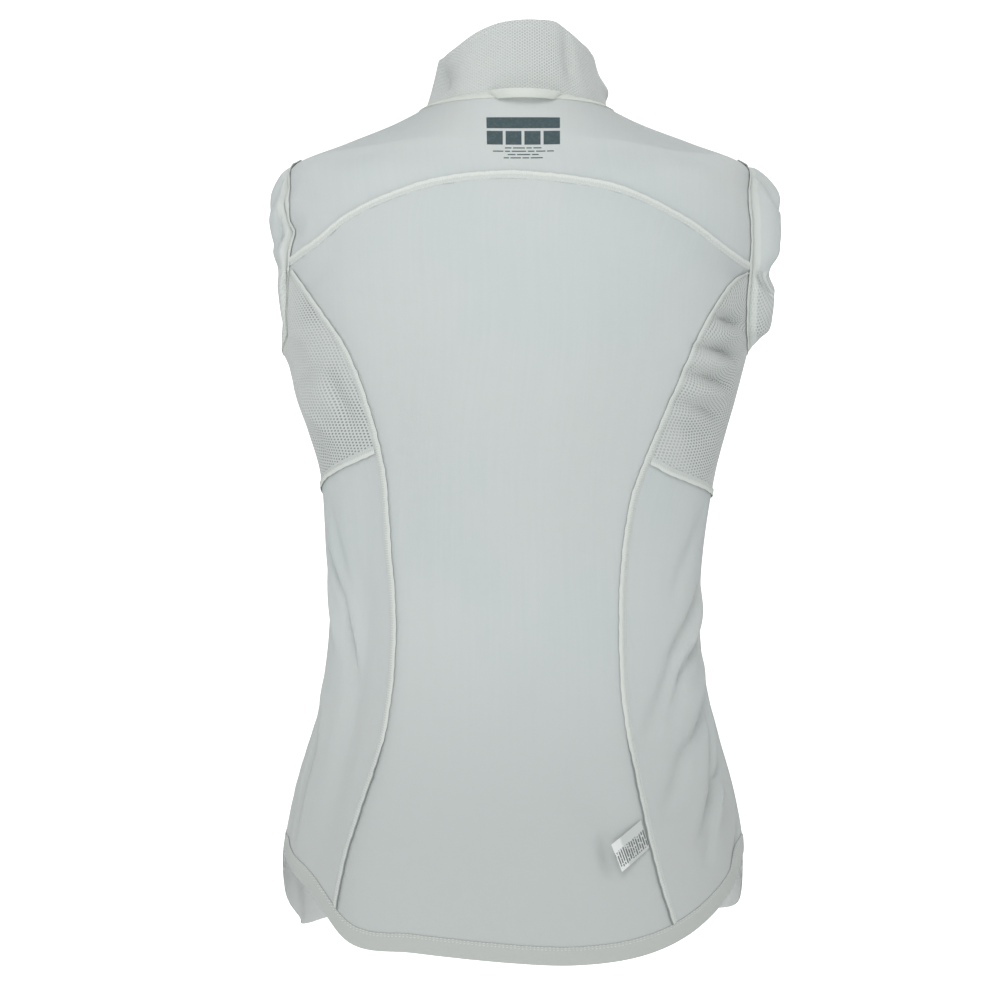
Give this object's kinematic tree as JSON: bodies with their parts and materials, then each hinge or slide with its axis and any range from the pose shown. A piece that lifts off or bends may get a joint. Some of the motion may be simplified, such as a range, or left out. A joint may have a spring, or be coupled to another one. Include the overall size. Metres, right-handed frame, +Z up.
{
  "type": "golf jacket",
  "caption": "Fitted zip-front golf jacket turned inside out and filled out hollow, with a stand collar, mesh side panels and its sleeves pushed inside.",
  "frame": {"origin": "middle of the shoulder line inside the neck's base, where a wearer or a form carries the jacket", "axes": "+Z up; the back faces -Y and the zipped front +Y; +X is on the right when the back is looked at"},
  "size_m": [0.3949, 0.2628, 0.7127],
  "materials": {
    "white_knit": "matt knit, wrong side of the shell",
    "white_mesh": "matt open mesh",
    "cream_trim": "matt overlocked edge, turned hem and woven tape",
    "white_satin": "soft sheen satin",
    "white_zip": "smooth"
  },
  "bodies": {
    "jacket": {"back_yoke": "white_knit", "back_center": "white_knit", "side_mesh_left": "white_mesh", "side_mesh_right": "white_mesh", "side_panel_left": "white_knit", "side_panel_right": "white_knit", "front_left": "white_knit", "front_right": "white_knit", "collar_facing": "white_mesh", "collar_shell": "white_knit", "sleeve_top_left_lip": "white_knit", "sleeve_top_left_upper": "white_knit", "sleeve_top_left_elbow": "white_knit", "sleeve_top_left_forearm": "white_knit", "sleeve_top_right_lip": "white_knit", "sleeve_top_right_upper": "white_knit", "sleeve_top_right_elbow": "white_knit", "sleeve_top_right_forearm": "white_knit", "sleeve_under_left_lip": "white_mesh", "sleeve_under_left_upper": "white_mesh", "sleeve_under_left_elbow": "white_mesh", "sleeve_under_left_forearm": "white_mesh", "sleeve_under_right_lip": "white_mesh", "sleeve_under_right_upper": "white_mesh", "sleeve_under_right_elbow": "white_mesh", "sleeve_under_right_forearm": "white_mesh", "hem_turn_up": "white_knit", "neck_tape": "cream_trim", "hanger_loop": "cream_trim", "care_label": "white_satin", "seam_yoke": "cream_trim", "seam_princess_left": "cream_trim", "seam_princess_right": "cream_trim", "seam_mesh_left": "cream_trim", "seam_mesh_right": "cream_trim", "seam_side_left": "cream_trim", "seam_side_right": "cream_trim", "seam_shoulder_left": "cream_trim", "seam_shoulder_right": "cream_trim", "seam_armhole_left": "cream_trim", "seam_armhole_right": "cream_trim", "zip_tape_left": "cream_trim", "zip_tape_right": "cream_trim", "zip_slider": "white_zip"},
    "pull_tab": {"zip_pull_tab": "white_zip"}
  },
  "joints": [
    {"name": "pull_tab_swing", "type": "hinge", "parent": "jacket", "child": "pull_tab", "pos_m": [0, 0.06393, -0.01569], "axis": [1, 0, 0], "range_deg": [-150, 4]}
  ]
}
